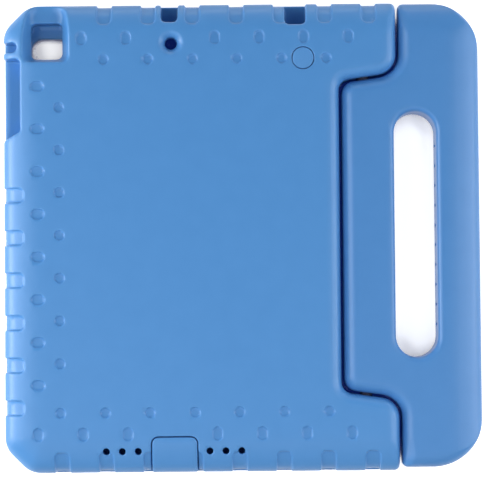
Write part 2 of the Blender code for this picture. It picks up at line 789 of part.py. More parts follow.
def add_bore_cutter():
    """Return the cutter of both pin bores."""
    radius = PIN_DIAMETER / 2 + PIN_PLAY
    lofts = [pin_rings(low - PIN_PLAY, high + PIN_PLAY, radius) for low, high in pin_ends()]
    return add_cutter("bore_cutter", mesh_from_lofts("bores", lofts))


def make_shell(material, bores):
    """Mould the shell: outer form, ears, pocket, cutouts, notches and dimples."""
    shell = add_object("shell", mesh_from_lofts("shell", [shell_form_rings()]), material)
    ears = rounded_slab(
        ear_outline_corners(), 0.0, TOTAL_THICKNESS, (FRONT_ROUND, FRONT_ROUND), (SEAM_ROUND, SEAM_ROUND)
    )
    combine(shell, add_cutter("ear_outline", mesh_from_lofts("ear_outline", [ears])), "INTERSECT")
    cut_pocket(shell)
    cut_notches(shell)
    cut_dimples(shell)
    cut_camera_window(shell)
    cut_edge_cutouts(shell)
    cut_side_holes(shell)
    cut_round_holes(shell)
    cut_flap_seat(shell)
    combine(shell, bores, "DIFFERENCE")
    return shell


def slot_rings():
    """Return the rings of the hand slot, with softly flared rims."""
    x_high = RIGHT - SLOT_EDGE
    corners = box_corners(
        x_high - SLOT_WIDTH,
        x_high,
        HANDLE_SHIFT - SLOT_LENGTH / 2,
        HANDLE_SHIFT + SLOT_LENGTH / 2,
        SLOT_CORNER,
    )
    rings = []
    flare = quarter_profile(SLOT_FLARE, SLOT_FLARE)
    rings.append(flat_ring(rounded_outline(corners, -SLOT_FLARE), HANDLE_LOW - MARGIN))
    for inset, rise in reversed(flare):
        rings.append(flat_ring(rounded_outline(corners, -inset), HANDLE_LOW + SLOT_FLARE - rise))
    for inset, rise in flare:
        rings.append(flat_ring(rounded_outline(corners, -inset), HANDLE_HIGH - SLOT_FLARE + rise))
    rings.append(flat_ring(rounded_outline(corners, -SLOT_FLARE), HANDLE_HIGH + MARGIN))
    return rings


def cut_grip(handle):
    """Cut the finger grooves into the slot's outer wall."""
    wall = RIGHT - SLOT_EDGE
    lofts = []
    for index in range(GRIP_COUNT):
        y = HANDLE_SHIFT + GRIP_PITCH * (index - (GRIP_COUNT - 1) / 2)
        corners = box_corners(
            wall - GRIP_DEPTH, wall + GRIP_DEPTH, y - GRIP_WIDTH / 2, y + GRIP_WIDTH / 2, 0.0
        )
        lofts.append(straight_slab(corners, HANDLE_LOW + SLOT_FLARE, HANDLE_LOW + SLOT_FLARE + GRIP_HEIGHT))
    combine(handle, add_cutter("grip_cutter", mesh_from_lofts("grip", lofts)), "DIFFERENCE")


def make_handle(material, bores):
    """Mould the handle: outer form, tab, hand slot and pin bores."""
    edge = (HANDLE_ROUND_WIDTH, HANDLE_ROUND_HEIGHT)
    form = rounded_slab(handle_form_corners(), HANDLE_LOW, HANDLE_HIGH, edge, edge)
    handle = add_object("handle", mesh_from_lofts("handle", [form]), material)
    tab_edge = (TAB_ROUND, TAB_ROUND)
    tab = rounded_slab(tab_outline_corners(), HANDLE_LOW, HANDLE_HIGH, tab_edge, tab_edge)
    combine(handle, add_cutter("tab_outline", mesh_from_lofts("tab_outline", [tab])), "INTERSECT")
    combine(handle, add_cutter("slot_cutter", mesh_from_lofts("slot", [slot_rings()])), "DIFFERENCE")
    cut_grip(handle)
    combine(handle, bores, "DIFFERENCE")
    turn_about(handle, Vector((AXIS_X, 0.0, AXIS_Z)), "handle_axis")
    return handle


def make_flap(material):
    """Mould the port flap: a piece of the shell's own edge, cut free above the front lip."""
    flap = add_object("port_flap", mesh_from_lofts("port_flap", [shell_form_rings()]), material)
    prism = straight_slab(flap_corners(0.0), POCKET_FLOOR + FLAP_SEAT_GAP, TOTAL_THICKNESS + MARGIN)
    combine(flap, add_cutter("flap_outline", mesh_from_lofts("flap_outline", [prism])), "INTERSECT")
    over_tablet = straight_slab(
        box_corners(
            LEFT + FLAP_LEFT - MARGIN,
            LEFT + FLAP_LEFT + FLAP_WIDTH + MARGIN,
            -POCKET_HEIGHT / 2 - FLAP_SEAT_GAP,
            0.0,
            0.0,
        ),
        0.0,
        POCKET_CEILING + FLAP_SEAT_GAP,
    )
    tablet_room = add_cutter("flap_underside", mesh_from_lofts("flap_underside", [over_tablet]))
    combine(flap, tablet_room, "DIFFERENCE")
    turn_about(flap, Vector((0.0, BOTTOM, POCKET_FLOOR + FLAP_SEAT_GAP)), "flap_axis")
    return flap


def turn_about(piece, place, name):
    """Parent a piece to an empty on its joint's axis and leave the piece where it is."""
    axis = bpy.data.objects.new(name, None)
    axis.location = place
    axis.empty_display_size = PIN_LENGTH
    bpy.context.collection.objects.link(axis)
    piece.parent = axis
    piece.location = -place


def make_pins(material):
    """Make the two hinge pins."""
    for name, (low, high) in zip(("hinge_pin_upper", "hinge_pin_lower"), pin_ends()):
        rings = pin_rings(low, high, PIN_DIAMETER / 2, PIN_BEVEL)
        add_object(name, mesh_from_lofts(name, [rings]), material)


def make_plug(material):
    """Make the flush foam plug."""
    rings = disc_rings(
        LEFT + PLUG_LEFT,
        TOP - PLUG_TOP,
        PLUG_DIAMETER / 2,
        TOTAL_THICKNESS - PLUG_DEPTH,
        TOTAL_THICKNESS,
    )
    add_object("round_plug", mesh_from_lofts("round_plug", [rings]), material)


def main():
    for item in list(bpy.data.objects):
        bpy.data.objects.remove(item)
    bores = add_bore_cutter()
    make_shell(make_material("shell_foam", FOAM_BLUE, FOAM_ROUGHNESS), bores)
    make_handle(make_material("handle_foam", FOAM_BLUE, FOAM_ROUGHNESS), bores)
    make_flap(make_material("flap_foam", FOAM_BLUE, FOAM_ROUGHNESS))
    make_plug(make_material("plug_foam", FOAM_BLUE, PLUG_ROUGHNESS))
    make_pins(make_material("pin_plastic", PIN_GREY, PIN_ROUGHNESS))


main()
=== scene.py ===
import math

import bpy
import numpy as np
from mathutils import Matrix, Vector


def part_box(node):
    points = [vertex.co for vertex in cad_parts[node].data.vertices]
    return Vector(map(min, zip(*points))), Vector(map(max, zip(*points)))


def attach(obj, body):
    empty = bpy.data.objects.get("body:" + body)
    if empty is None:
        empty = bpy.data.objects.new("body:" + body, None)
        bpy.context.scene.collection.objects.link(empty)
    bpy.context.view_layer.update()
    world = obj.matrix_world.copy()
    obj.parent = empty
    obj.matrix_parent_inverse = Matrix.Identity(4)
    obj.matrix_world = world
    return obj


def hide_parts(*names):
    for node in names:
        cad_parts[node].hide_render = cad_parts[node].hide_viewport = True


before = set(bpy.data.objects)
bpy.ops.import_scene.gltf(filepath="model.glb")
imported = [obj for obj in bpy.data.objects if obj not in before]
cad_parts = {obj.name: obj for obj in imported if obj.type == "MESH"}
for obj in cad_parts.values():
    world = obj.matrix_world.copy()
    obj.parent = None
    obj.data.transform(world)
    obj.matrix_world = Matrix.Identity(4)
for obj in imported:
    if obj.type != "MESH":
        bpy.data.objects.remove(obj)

import openvdb
from mathutils import Matrix, Vector

# Every foam piece is a signed distance sampled on a fine grid, negative inside, and then turned
# into a mesh, so that its rims, notches and dimples are as soft as moulded foam is.
# Sizes of the pieces are in millimetres up to the point where a mesh is made. The floor, the
# lamps and the camera are in metres.
MM = 0.001

shell_low, shell_high = (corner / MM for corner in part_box("shell"))
handle_low, handle_high = (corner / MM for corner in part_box("handle"))
flap_low, flap_high = (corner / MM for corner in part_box("port_flap"))
plug_low, plug_high = (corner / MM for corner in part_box("round_plug"))
pin_low, pin_high = (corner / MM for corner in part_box("hinge_pin_upper"))
lower_pin_low, lower_pin_high = (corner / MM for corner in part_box("hinge_pin_lower"))

LEFT = shell_low.x
EAR_END = shell_high.x
BOTTOM = shell_low.y
TOP = shell_high.y
BACK = shell_high.z

# Fineness of the grid, and the margin that it keeps round a solid
PITCH = 0.55
BAND = 3 * PITCH
GRID_MARGIN = 2 * BAND
ADAPTIVITY = 0.02
CORNER_STEPS = 10
EVERYWHERE = (slice(None), slice(None))

# A length that reaches past any edge, and the corner radius of outlines out there
FAR = 40.0
FAR_CORNER = 1.0

# Values below which a squared length or a slope counts as nothing
SAME_POINT = 1e-12
NO_SLOPE = 1e-6

# Places on the shell are measured along X from its left edge, and along Y from its top edge
# or, for the speakers and the bottom rows, from its bottom edge.

# Shell
SIDE_WALL = 11.0
END_WALL = 13.5
POCKET_WIDTH = 170.0
POCKET_FLOOR = 6.0
POCKET_CEILING = 14.0
POCKET_CORNER = 8.0
POCKET_RIM = 0.4
LIP_OVERLAP = 4.5
LIP_CORNER = 6.0
LIP_RIM = 1.8
CORNER_CUT_X = 14.5
CORNER_CUT_Y = 14.5
CORNER_ROUND = 14.0
FRONT_ROUND = 4.0
BACK_ROUND_WIDTH = 20.0
BACK_ROUND_HEIGHT = 12.0
BODY_RIGHT = LEFT + 2 * SIDE_WALL + POCKET_WIDTH
POCKET_LEFT = LEFT + SIDE_WALL
POCKET_RIGHT = POCKET_LEFT + POCKET_WIDTH
POCKET_HIGH = TOP - END_WALL
POCKET_MIDDLE = (POCKET_FLOOR + POCKET_CEILING) / 2

# Ears
EAR_LENGTH_OUTER = 40.2
EAR_LENGTH_INNER = 44.8
EAR_CORNER = 11.5
EAR_ROOT_ROUND = 6.5
SEAM_ROUND = 7.0
EDGE_BLEND = 3.0

# Handle
SEAM_GAP = 1.5
HANDLE_CORNER = 28.5
HANDLE_ROUND_WIDTH = 20.0
HANDLE_ROUND_HEIGHT = 11.0
HANDLE_LOW_ROUND_WIDTH = 8.0
HANDLE_LOW_ROUND_HEIGHT = 7.0
HANDLE_CORNER_EDGE = 7.0
TAB_ROUND = 8.0
TAB_CORNER = 8.0
HANDLE_MIDDLE_Y = (handle_low.y + handle_high.y) / 2
HANDLE_MIDDLE_Z = (handle_low.z + handle_high.z) / 2

# Hand slot and its grip grooves
SLOT_WIDTH = 24.0
SLOT_LENGTH = 139.9
SLOT_CORNER = 11.9
SLOT_EDGE = 25.1
SLOT_RIM = 3.5
SLOT_FRONT_RIM = 1.5
SLOT_RIGHT = handle_high.x - SLOT_EDGE
GRIP_COUNT = 10
GRIP_PITCH = 11.4
GRIP_RADIUS = 0.9
GRIP_LOW = 4.5
GRIP_HIGH = 13.5
GRIP_RIM = 0.3
GRIP_REACH = 3.0

# Camera window and its scoop
CAMERA_LEFT = 16.0
CAMERA_BOTTOM = 30.9
CAMERA_TOP = 10.2
CAMERA_WIDTH = 17.8
CAMERA_CORNER = 3.2
CAMERA_RIM = 0.8
SCOOP_DEPTH = 10.0
SCOOP_SLOPE_LEFT = 5.3
SCOOP_SLOPE_RIGHT = 4.2
SCOOP_SLOPE_BELOW = 2.5
SCOOP_SLOPE_ABOVE = 4.0
SCOOP_PAST_EDGE = 1.0
SCOOP_LOWER_CORNER = 4.0
SCOOP_UPPER_CORNER = 8.0
SCOOP_FLOOR_ROUND = 2.5
SCOOP_RIM = 1.1
SCOOP_MARGIN = 20.0

# Cutouts in the edges
CUTOUT_CORNER = 2.8
CUTOUT_RIM = 0.9
CUTOUT_MARGIN = 5.0
MUTE_TOP = 21.6
MUTE_WIDTH = 5.7
MUTE_DEPTH = 8.3
VOLUME_TOP = 30.9
VOLUME_LENGTH = 42.0
VOLUME_SLANT = 5.0
VOLUME_DEPTH = 10.2
UPPER_MIC_LEFT = 90.6
UPPER_MIC_WIDTH = 9.6
UPPER_MIC_DEPTH = 10.9
HEADPHONE_LEFT = 161.3
HEADPHONE_WIDTH = 12.0
HEADPHONE_DEPTH = 12.8

# Holes from the edge cutouts into the pocket
SIDE_HOLE_SIZE = 5.0
SIDE_HOLE_OVERLAP = 1.0
SIDE_HOLE_CORNER = 0.1
SIDE_HOLE_RIM = 0.3
SIDE_HOLE_MARGIN = 3.0
VOLUME_HOLE_LENGTH = 26.0

# Microphone hole
MIC_LEFT = 96.2
MIC_TOP = 23.0
MIC_DIAMETER = 7.0
MIC_RIM = 0.5
MIC_SINK_DIAMETER = 13.4
MIC_SINK_DEPTH = 3.0
MIC_SINK_RIM = 0.8

# Speaker holes and the tunnels that lead from them into the pocket
SPEAKER_DIAMETER = 3.9
SPEAKER_EDGE = 12.4
SPEAKER_PITCH = 9.05
SPEAKER_ROW_STARTS = (58.1, 116.8)
SPEAKER_ROW_COUNT = 3
SPEAKER_RIM = 0.35
SPEAKER_REACH = 4.0
TUNNEL_WIDTH = 2.6
TUNNEL_CORNER = 0.1
TUNNEL_RIM = 0.2
TUNNEL_OVERLAP = 1.0

# Plug and hinge pins, each with a gap all round
FIT_GAP = 0.35
PLUG_RIM = 0.35
PLUG_SEAT_RIM = 0.2
PLUG_SEAT_REACH = 10.0
BORE_RIM = 0.2
BORE_REACH = 6.0
BORE_MARGIN = 2.0

# Port flap
FLAP_CORNER = 3.7
FLAP_GAP = 0.45
FLAP_RIM = 0.7
FLAP_INNER_RIM = 0.3
FLAP_POCKET_GAP = 0.3

# Forms pressed into the surface
PRESS_MARGIN = 2.0

# Finger notches
NOTCH_WIDTH = 8.3
NOTCH_REACH = 12.0
NOTCH_DEPTH = 1.3
NOTCH_CORNER = 3.0
NOTCH_RIM = 0.45
NOTCH_PITCH_SIDE = 24.2
NOTCH_PITCH_END = 25.2
NOTCH_FIRST_SIDE = 109.3
NOTCH_COUNT_SIDE = 6
NOTCH_FIRST_TOP = 58.1
NOTCH_COUNT_TOP = 7
NOTCH_FIRST_BOTTOM = 33.0
NOTCH_COUNT_BOTTOM = 8

# Dimples
DIMPLE_DEPTH = 1.0
DIMPLE_LONG = 7.4
DIMPLE_SHORT = 5.6
DIMPLE_ROUND = 5.6
DIMPLE_REACH = 3.0
DIMPLE_RIM = 0.4
DIMPLE_PITCH_SIDE = 24.3
DIMPLE_PITCH_END = 25.4
OUTER_ROW_EDGE = 20.0
INNER_ROW_EDGE = 32.2
BOTTOM_OUTER_ROW_EDGE = 22.2
BOTTOM_INNER_ROW_EDGE = 34.4
OUTER_ROW_FIRST = 45.1
OUTER_ROW_COUNT = 7
INNER_ROW_FIRST = 57.8
INNER_ROW_COUNT = 6
MIC_PLACE_IN_ROW = 2
OUTER_COLUMN_FIRST = 47.2
OUTER_COLUMN_COUNT = 8
INNER_COLUMN_FIRST = 59.3
INNER_COLUMN_COUNT = 7


class Block:
    """A box of grid points with the signed distance of one solid, in millimetres."""

    def __init__(self, low, high):
        self.low = np.array(low, dtype=np.float32) - GRID_MARGIN
        size = np.array(high) - np.array(low) + 2 * GRID_MARGIN
        counts = np.ceil(size / PITCH).astype(int)
        x, y, z = (
            self.low[axis] + PITCH * np.arange(counts[axis], dtype=np.float32) for axis in range(3)
        )
        self.x = x
        self.y = y
        self.z = z[None, None, :]
        self.values = None

    def flat(self):
        """The grid's x and y as two flat arrays that broadcast together."""
        return self.x[:, None], self.y[None, :]

    def part(self, rectangle):
        """The grid's slices and points inside a rectangle."""
        x_low, x_high, y_low, y_high = rectangle
        across = slice(*np.searchsorted(self.x, (x_low, x_high)))
        along = slice(*np.searchsorted(self.y, (y_low, y_high)))
        return (across, along), self.x[across][:, None, None], self.y[along][None, :, None]

    def carve(self, tool, rim, area=EVERYWHERE):
        """Take a tool's solid away, with a rounded rim."""
        self.values[area] = round_max(self.values[area], -tool, rim)


def round_max(a, b, radius):
    """The intersection of two solids, with its edge rounded to a radius."""
    outside = np.hypot(np.maximum(a + radius, 0), np.maximum(b + radius, 0))
    return np.minimum(np.maximum(a, b), -radius) + outside


def round_min(a, b, radius):
    """The union of two solids, with its inner corner rounded to a radius."""
    return -round_max(-a, -b, radius)


def rounded_outline(corners):
    """The points of an anticlockwise polygon whose corners are (x, y, radius)."""
    points = []
    for index, (x, y, radius) in enumerate(corners):
        before = Vector(corners[index - 1][:2])
        here = Vector((x, y))
        after = Vector(corners[(index + 1) % len(corners)][:2])
        along_in = (here - before).normalized()
        along_out = (after - here).normalized()
        turn = math.atan2(along_in.cross(along_out), along_in.dot(along_out))
        side = 1 if turn > 0 else -1
        normal_in = Vector((-along_in.y, along_in.x)) * side
        centre = here + normal_in * radius - along_in * radius * math.tan(abs(turn) / 2)
        for step in range(CORNER_STEPS + 1):
            swing = Matrix.Rotation(turn * step / CORNER_STEPS, 2)
            points.append(centre - swing @ normal_in * radius)
    return points


def outline_inset(corners, x, y):
    """How far each flat point lies inside a rounded outline."""
    points = rounded_outline(corners)
    nearest = np.full(np.broadcast(x, y).shape, np.inf, dtype=np.float32)
    inside = np.zeros(nearest.shape, dtype=bool)
    for start, end in zip(points, points[1:] + points[:1]):
        run = end - start
        length_squared = run.length_squared
        if length_squared < SAME_POINT:
            continue
        share = np.clip(((x - start.x) * run.x + (y - start.y) * run.y) / length_squared, 0, 1)
        gap_x = x - start.x - share * run.x
        gap_y = y - start.y - share * run.y
        nearest = np.minimum(nearest, gap_x * gap_x + gap_y * gap_y)
        if start.y != end.y:
            level = (start.y > y) != (end.y > y)
            inside ^= level & (x < run.x * (y - start.y) / run.y + start.x)
    distance = np.sqrt(nearest)
    return np.where(inside, distance, -distance).astype(np.float32)


def rectangle_round(x, y, half_width, half_height):
    """The rectangle (x low, x high, y low, y high) that has a point as its middle."""
    return x - half_width, x + half_width, y - half_height, y + half_height


def grown(rectangle, margin):
    """A rectangle made larger by a margin on every side."""
    x_low, x_high, y_low, y_high = rectangle
    return x_low - margin, x_high + margin, y_low - margin, y_high + margin


def rectangle_distance(x, y, rectangle, radius):
    """The flat signed distance of a rectangle with round corners."""
    x_low, x_high, y_low, y_high = rectangle
    over_x = np.abs(x - (x_low + x_high) / 2) - (x_high - x_low) / 2 + radius
    over_y = np.abs(y - (y_low + y_high) / 2) - (y_high - y_low) / 2 + radius
    outside = np.hypot(np.maximum(over_x, 0), np.maximum(over_y, 0))
    return outside + np.minimum(np.maximum(over_x, over_y), 0) - radius


def elliptic_edge(inset, below, width, height):
    """The distance of a slab whose edge is a quarter ellipse; below is the depth under its face."""
    across = np.maximum(width - inset, 0) / width
    down = np.maximum(height - below, 0) / height
    reach = np.hypot(across, down)
    slope = np.hypot(across / width, down / height)
    curved = (reach - 1) * reach / np.maximum(slope, NO_SLOPE)
    plain = np.maximum(-inset, -below)
    return np.where((across > 0) & (down > 0), np.maximum(curved, plain), plain)


def lifted(flat_array):
    """Give a flat array a third axis."""
    return flat_array[:, :, None]


def rounded_form(inset, below_back, above_front, back_edge, front_edge):
    """The distance of a slab with rounded back and front edges, each (width, height)."""
    back = elliptic_edge(inset, below_back, *back_edge)
    front = elliptic_edge(inset, above_front, *front_edge)
    return np.maximum(back, front)


def edge_nearness(inset, width):
    """1 in the outer half of a rounded edge, and from there down to 0 at its inner end."""
    return np.minimum(1, 2 * np.clip(1 - inset / width, 0, 1))


def blended_forms(form, inset, width, other_form, other_inset, other_width):
    """The intersection of two slabs that share their flat faces, softened where their edges meet."""
    radius = EDGE_BLEND * edge_nearness(inset, width) * edge_nearness(other_inset, other_width)
    return round_max(form, other_form, radius)


def shell_form_corners():
    """The shell's outline, running on past the ears' ends, which are cut afterwards."""
    far = EAR_END + FAR
    return [
        (LEFT, BOTTOM + CORNER_CUT_Y, CORNER_ROUND),
        (LEFT + CORNER_CUT_X, BOTTOM, CORNER_ROUND),
        (far, BOTTOM, CORNER_ROUND),
        (far, TOP, CORNER_ROUND),
        (LEFT + CORNER_CUT_X, TOP, CORNER_ROUND),
        (LEFT, TOP - CORNER_CUT_Y, CORNER_ROUND),
    ]


def ear_corners():
    """The outline that cuts the shell off along the seam and leaves the two ears."""
    return [
        (LEFT - FAR, BOTTOM - FAR, FAR_CORNER),
        (EAR_END, BOTTOM - FAR, FAR_CORNER),
        (EAR_END, BOTTOM + EAR_LENGTH_OUTER, EAR_CORNER),
        (BODY_RIGHT, BOTTOM + EAR_LENGTH_INNER, EAR_ROOT_ROUND),
        (BODY_RIGHT, TOP - EAR_LENGTH_INNER, EAR_ROOT_ROUND),
        (EAR_END, TOP - EAR_LENGTH_OUTER, EAR_CORNER),
        (EAR_END, TOP + FAR, FAR_CORNER),
        (LEFT - FAR, TOP + FAR, FAR_CORNER),
    ]


def tab_corners():
    """The outline that cuts the handle off along the seam, an even gap away from the ears."""
    slant = (EAR_LENGTH_INNER - EAR_LENGTH_OUTER) / (EAR_END - BODY_RIGHT)
    drop = SEAM_GAP * math.hypot(1.0, slant) - slant * SEAM_GAP
    outer = TOP - EAR_LENGTH_OUTER - drop
    inner = TOP - EAR_LENGTH_INNER - drop
    shoulder = EAR_END + SEAM_GAP
    far = handle_high.x + FAR
    return [
        (handle_low.x, -inner, TAB_CORNER),
        (shoulder, -outer, EAR_CORNER + SEAM_GAP),
        (shoulder, BOTTOM - FAR, FAR_CORNER),
        (far, BOTTOM - FAR, FAR_CORNER),
        (far, TOP + FAR, FAR_CORNER),
        (shoulder, TOP + FAR, FAR_CORNER),
        (shoulder, outer, EAR_CORNER + SEAM_GAP),
        (handle_low.x, inner, TAB_CORNER),
    ]


def shell_form(block):
    """The shell's outer form, before anything is cut into it, and each point's inset in it."""
    inset = lifted(outline_inset(shell_form_corners(), *block.flat()))
    back_edge = (BACK_ROUND_WIDTH, BACK_ROUND_HEIGHT)
    front_edge = (FRONT_ROUND, FRONT_ROUND)
    return rounded_form(inset, BACK - block.z, block.z, back_edge, front_edge), inset


def press(block, rectangle, corner, reach_down, depth, rim):
    """Press a rounded rectangle into the surface, whatever its slope, by an even depth."""
    area, x, y = block.part(grown(rectangle, PRESS_MARGIN))
    plan = rectangle_distance(x, y, rectangle, corner)
    outside = -np.maximum(plan, reach_down - block.z)
    solid = block.values[area]
    block.values[area] = round_max(solid, round_min(outside, solid + depth, rim), rim)


def notch_places():
    """The rectangle of each finger notch, which runs out past its edge."""
    places = []
    half = NOTCH_WIDTH / 2
    for index in range(NOTCH_COUNT_SIDE):
        y = TOP - NOTCH_FIRST_SIDE - NOTCH_PITCH_SIDE * index
        places.append((LEFT - FAR, LEFT + NOTCH_REACH, y - half, y + half))
    for index in range(NOTCH_COUNT_TOP):
        x = LEFT + NOTCH_FIRST_TOP + NOTCH_PITCH_END * index
        places.append((x - half, x + half, TOP - NOTCH_REACH, TOP + FAR))
    for index in range(NOTCH_COUNT_BOTTOM):
        x = LEFT + NOTCH_FIRST_BOTTOM + NOTCH_PITCH_END * index
        places.append((x - half, x + half, BOTTOM - FAR, BOTTOM + NOTCH_REACH))
    return places


def cut_notches(block):
    """The shallow finger notches, which follow the rounded edge."""
    for place in notch_places():
        press(block, place, NOTCH_CORNER, POCKET_FLOOR, NOTCH_DEPTH, NOTCH_RIM)


def dimple_places():
    """Where each dimple lies, with its width and height."""
    places = []
    for index in range(-1, OUTER_ROW_COUNT):
        if index == MIC_PLACE_IN_ROW:
            continue
        x = LEFT + OUTER_ROW_FIRST + DIMPLE_PITCH_END * index
        places.append((x, BOTTOM + BOTTOM_OUTER_ROW_EDGE, DIMPLE_SHORT, DIMPLE_LONG))
        if index >= 0:
            places.append((x, TOP - OUTER_ROW_EDGE, DIMPLE_SHORT, DIMPLE_LONG))
    for index in range(-1, INNER_ROW_COUNT):
        x = LEFT + INNER_ROW_FIRST + DIMPLE_PITCH_END * index
        places.append((x, BOTTOM + BOTTOM_INNER_ROW_EDGE, DIMPLE_ROUND, DIMPLE_ROUND))
        if index >= 0:
            places.append((x, TOP - INNER_ROW_EDGE, DIMPLE_ROUND, DIMPLE_ROUND))
    for index in range(OUTER_COLUMN_COUNT):
        y = TOP - OUTER_COLUMN_FIRST - DIMPLE_PITCH_SIDE * index
        places.append((LEFT + OUTER_ROW_EDGE, y, DIMPLE_LONG, DIMPLE_SHORT))
    for index in range(INNER_COLUMN_COUNT):
        y = TOP - INNER_COLUMN_FIRST - DIMPLE_PITCH_SIDE * index
        places.append((LEFT + INNER_ROW_EDGE, y, DIMPLE_ROUND, DIMPLE_ROUND))
    return places


def cut_dimples(block):
    """The rows of shallow oval dimples."""
    for x, y, width, height in dimple_places():
        oval = rectangle_round(x, y, width / 2, height / 2)
        press(block, oval, min(width, height) / 2, BACK - DIMPLE_REACH, DIMPLE_DEPTH, DIMPLE_RIM)


def cut_pocket(block):
    """The tablet's pocket and the opening for its screen."""
    x, y = block.flat()
    pocket = (POCKET_LEFT, POCKET_RIGHT, -POCKET_HIGH, POCKET_HIGH)
    room = lifted(rectangle_distance(x, y, pocket, POCKET_CORNER))
    level = np.abs(block.z - POCKET_MIDDLE) - (POCKET_CEILING - POCKET_FLOOR) / 2
    block.carve(np.maximum(room, level), POCKET_RIM)
    screen = lifted(rectangle_distance(x, y, grown(pocket, -LIP_OVERLAP), LIP_CORNER))
    block.carve(np.maximum(screen, block.z - POCKET_MIDDLE), LIP_RIM)


def leaning_face(offset, rise, slope):
    """The distance past a face of the scoop that leans out by its slope over the scoop's depth."""
    lean = slope / SCOOP_DEPTH
    return (offset - rise * lean) / math.hypot(1, lean)


def cut_camera_window(block):
    """The camera window, and the sloped scoop round and above it that runs out at the top."""
    left = LEFT + CAMERA_LEFT
    right = left + CAMERA_WIDTH
    low = TOP - CAMERA_BOTTOM
    high = TOP + SCOOP_PAST_EDGE
    reach = (left - SCOOP_MARGIN, right + SCOOP_MARGIN, low - SCOOP_MARGIN, TOP + FAR)
    area, x, y = block.part(reach)
    window = rectangle_distance(x, y, (left, right, low, TOP - CAMERA_TOP), CAMERA_CORNER)
    block.carve(np.maximum(window, POCKET_FLOOR - block.z), CAMERA_RIM, area)

    rise = block.z - (BACK - SCOOP_DEPTH)
    below = leaning_face(low - y, rise, SCOOP_SLOPE_BELOW)
    above = leaning_face(y - high, rise, SCOOP_SLOPE_ABOVE)
    left_side = leaning_face(left - x, rise, SCOOP_SLOPE_LEFT)
    right_side = leaning_face(x - right, rise, SCOOP_SLOPE_RIGHT)
    lower = [round_max(side, below, SCOOP_LOWER_CORNER) for side in (left_side, right_side)]
    upper = [round_max(side, above, SCOOP_UPPER_CORNER) for side in (left_side, right_side)]
    funnel = np.maximum(np.maximum(*lower), np.maximum(*upper))
    block.carve(round_max(funnel, -rise, SCOOP_FLOOR_ROUND), SCOOP_RIM, area)


def cut_edge_cutouts(block):
    """The cutouts for the mute switch, the upper microphone and the headphone socket."""
    mute_high = TOP - MUTE_TOP
    mic_left = LEFT + UPPER_MIC_LEFT
    jack_left = LEFT + HEADPHONE_LEFT
    rectangles = [
        (LEFT - FAR, LEFT + MUTE_DEPTH, mute_high - MUTE_WIDTH, mute_high),
        (mic_left, mic_left + UPPER_MIC_WIDTH, TOP - UPPER_MIC_DEPTH, TOP + FAR),
        (jack_left, jack_left + HEADPHONE_WIDTH, TOP - HEADPHONE_DEPTH, TOP + FAR),
    ]
    for rectangle in rectangles:
        area, x, y = block.part(grown(rectangle, CUTOUT_MARGIN))
        plan = rectangle_distance(x, y, rectangle, CUTOUT_CORNER)
        block.carve(np.maximum(plan, POCKET_FLOOR - block.z), CUTOUT_RIM, area)


def cut_volume_cutout(block):
    """The long cutout for the volume buttons, whose lower end slants."""
    high = TOP - VOLUME_TOP
    low = high - VOLUME_LENGTH
    inner = LEFT + VOLUME_DEPTH
    corners = [
        (LEFT - FAR, low - VOLUME_SLANT * (1 + FAR / VOLUME_DEPTH), CUTOUT_CORNER),
        (inner, low, CUTOUT_CORNER),
        (inner, high, CUTOUT_CORNER),
        (LEFT - FAR, high, CUTOUT_CORNER),
    ]
    area, x, y = block.part((LEFT - FAR, inner + CUTOUT_MARGIN, low - FAR, high + CUTOUT_MARGIN))
    plan = -lifted(outline_inset(corners, x[:, :, 0], y[:, :, 0]))
    block.carve(np.maximum(plan, POCKET_FLOOR - block.z), CUTOUT_RIM, area)


def side_hole_places():
    """The rectangle of each hole from an edge cutout into the pocket."""
    half = SIDE_HOLE_SIZE / 2
    volume_half = VOLUME_HOLE_LENGTH / 2
    mute_y = TOP - MUTE_TOP - MUTE_WIDTH / 2
    volume_y = TOP - VOLUME_TOP - VOLUME_LENGTH / 2
    mic_x = LEFT + UPPER_MIC_LEFT + UPPER_MIC_WIDTH / 2
    jack_x = LEFT + HEADPHONE_LEFT + HEADPHONE_WIDTH / 2
    mute_floor = LEFT + MUTE_DEPTH - SIDE_HOLE_OVERLAP
    volume_floor = LEFT + VOLUME_DEPTH - SIDE_HOLE_OVERLAP
    mic_floor = TOP - UPPER_MIC_DEPTH + SIDE_HOLE_OVERLAP
    jack_floor = TOP - HEADPHONE_DEPTH + SIDE_HOLE_OVERLAP
    pocket_x = POCKET_LEFT + SIDE_HOLE_OVERLAP
    pocket_y = POCKET_HIGH - SIDE_HOLE_OVERLAP
    return [
        (mute_floor, pocket_x, mute_y - half / 2, mute_y + half / 2),
        (volume_floor, pocket_x, volume_y - volume_half, volume_y + volume_half),
        (mic_x - half, mic_x + half, pocket_y, mic_floor),
        (jack_x - half, jack_x + half, pocket_y, jack_floor),
    ]


def cut_side_holes(block):
    """The holes through which the buttons and sockets are reached from the edge cutouts."""
    level = np.abs(block.z - POCKET_MIDDLE) - SIDE_HOLE_SIZE / 2
    for place in side_hole_places():
        area, x, y = block.part(grown(place, SIDE_HOLE_MARGIN))
        plan = rectangle_distance(x, y, place, SIDE_HOLE_CORNER)
        block.carve(np.maximum(plan, level), SIDE_HOLE_RIM, area)


